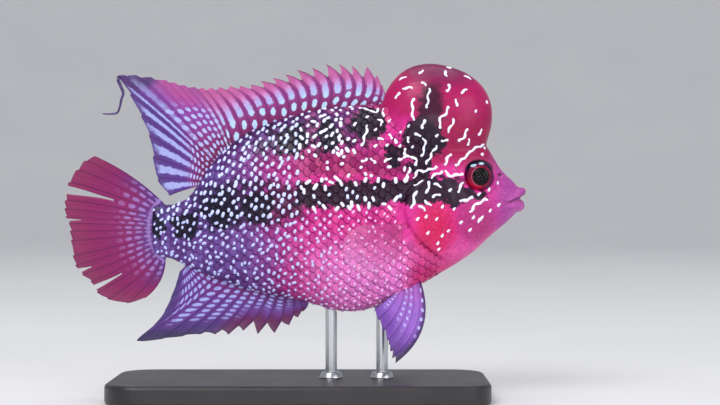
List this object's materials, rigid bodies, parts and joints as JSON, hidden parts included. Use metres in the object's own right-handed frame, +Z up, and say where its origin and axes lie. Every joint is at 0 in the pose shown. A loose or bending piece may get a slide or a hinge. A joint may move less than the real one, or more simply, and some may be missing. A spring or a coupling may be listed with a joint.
{
  "type": "flowerhorn cichlid",
  "caption": "Life-size still model of a young aquarium cichlid with a domed forehead, spread fins and pearl-spotted flanks, held over a flat base by two short rods.",
  "frame": {"origin": "middle of the display base, on its underside, where the model rests", "axes": "+X the way the fish swims, +Y to its left, +Z up"},
  "size_m": [0.1191, 0.046, 0.0855],
  "materials": {
    "skin": "moist crimson to plum skin with dark patches and pale blue pearls",
    "hump": "smooth moist crimson",
    "lip": "soft satin pink",
    "fin": "thin purple membrane with pale blue dashes between the rays",
    "tail": "thin magenta membrane with pale dashes at the root",
    "clear_fin": "clear pink membrane",
    "eye": "wet gloss, deep red iris round a black pupil",
    "base": "satin black",
    "rod": "brushed steel"
  },
  "bodies": {
    "root": {"head": "skin", "trunk": "skin", "tail_stalk": "skin", "nuchal_hump": "hump", "gill_cover_left": "skin", "gill_cover_right": "skin", "eye_left": "eye", "eye_right": "eye", "upper_lip": "lip", "lower_lip": "lip", "dorsal_fin": "fin", "anal_fin": "fin", "tail_fin": "tail", "pectoral_fin_left": "clear_fin", "pectoral_fin_right": "clear_fin", "pelvic_fin_left": "fin", "pelvic_fin_right": "fin", "stand_base": "base", "stand_rod_front": "rod", "stand_rod_rear": "rod"}
  },
  "joints": []
}
